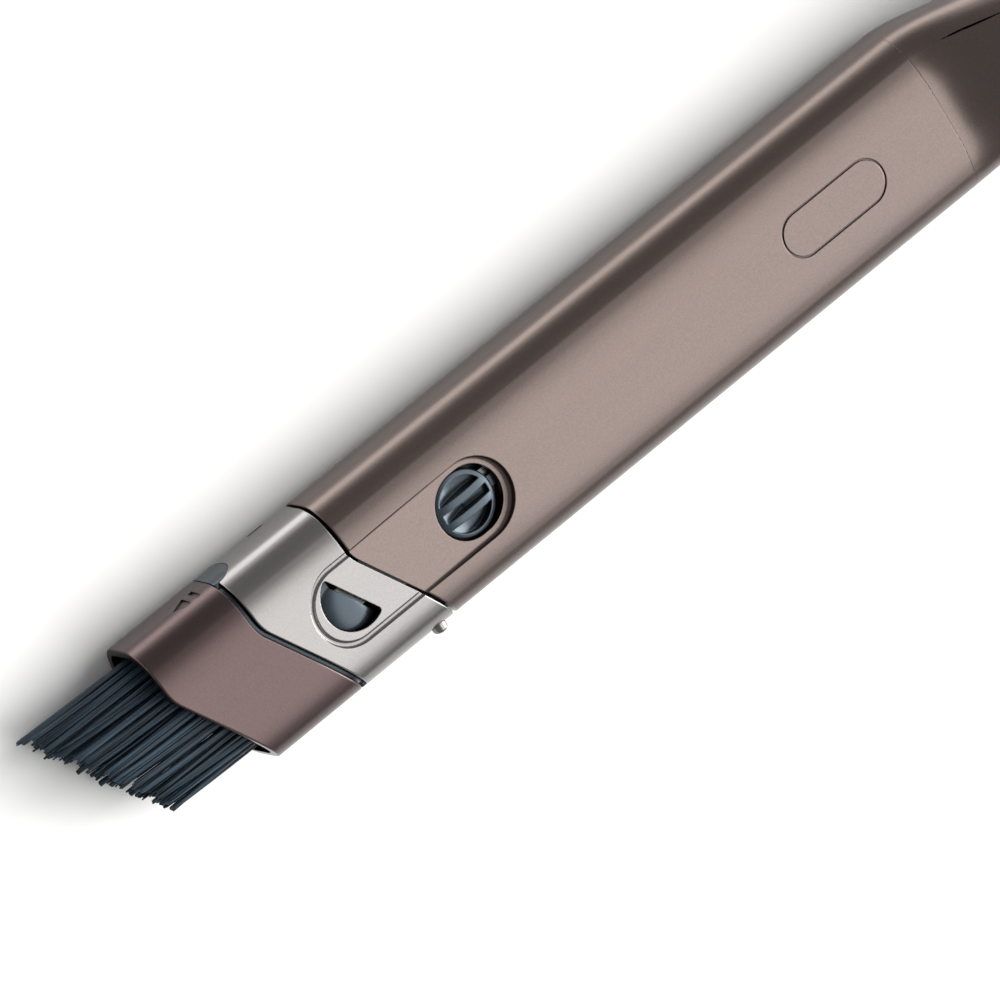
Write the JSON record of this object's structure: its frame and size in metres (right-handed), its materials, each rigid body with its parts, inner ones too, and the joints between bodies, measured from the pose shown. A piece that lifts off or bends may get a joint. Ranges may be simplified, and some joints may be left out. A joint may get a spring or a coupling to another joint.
{
  "type": "vacuum cleaner combination tool",
  "caption": "Flat-oval suction duct with a wand socket, a push-button collar that carries a slim crevice nozzle, and a pull-off brush head.",
  "frame": {"origin": "centre of the wand socket's mouth, on its axis", "axes": "+X along the tool towards the wand, +Z out of the face with the buttons, +Y to the left when looking along +X from the brush"},
  "size_m": [0.3381, 0.0443, 0.0371],
  "materials": {
    "bronze_plastic": "satin metallic",
    "dark_bronze_plastic": "satin metallic",
    "silver_plastic": "satin metallic",
    "slate_plastic": "satin",
    "inner_plastic": "matt",
    "spring_steel": "rolled",
    "screw_steel": "plated",
    "seal_rubber": "matt",
    "bristle_nylon": "satin strands"
  },
  "bodies": {
    "duct_body": {"duct_upper_shell": "bronze_plastic", "duct_lower_shell": "bronze_plastic", "neck": "bronze_plastic", "wand_cuff": "slate_plastic", "cuff_washer": "seal_rubber", "latch_tray": "inner_plastic", "tray_screws": "screw_steel", "head_catch_leaf": "spring_steel", "leaf_screw": "screw_steel"},
    "round_button": {"head_button": "slate_plastic"},
    "collar_module": {"collar_shell": "silver_plastic", "crevice_nozzle": "inner_plastic", "spigot_seal": "seal_rubber", "collar_screws": "screw_steel", "brush_catch_leaf": "spring_steel"},
    "half_moon_button": {"brush_button": "slate_plastic"},
    "brush_module": {"brush_cover": "dark_bronze_plastic", "brush_carrier": "slate_plastic", "tuft_ring": "inner_plastic", "cover_screws": "screw_steel", "bristle_row_upper": "bristle_nylon", "bristle_row_lower": "bristle_nylon", "bristle_row_left": "bristle_nylon", "bristle_row_right": "bristle_nylon"}
  },
  "joints": [
    {"name": "head_button_press", "type": "slide", "parent": "duct_body", "child": "round_button", "axis": [0, 0, -1], "range_m": [0, 0.002], "stiffness_N_per_m": 1200, "springref_m": -0.0008, "deforming": ["head_catch_leaf"]},
    {"name": "head_release", "type": "slide", "parent": "duct_body", "child": "collar_module", "axis": [-1, 0, 0], "range_m": [0, 0.05], "deforming": ["head_catch_leaf"]},
    {"name": "brush_button_press", "type": "slide", "parent": "collar_module", "child": "half_moon_button", "axis": [0, 0, -1], "range_m": [0, 0.0014], "stiffness_N_per_m": 1200, "springref_m": -0.0006, "deforming": ["brush_catch_leaf"]},
    {"name": "brush_release", "type": "slide", "parent": "collar_module", "child": "brush_module", "axis": [-1, 0, 0], "range_m": [0, 0.045], "deforming": ["brush_catch_leaf"]}
  ]
}
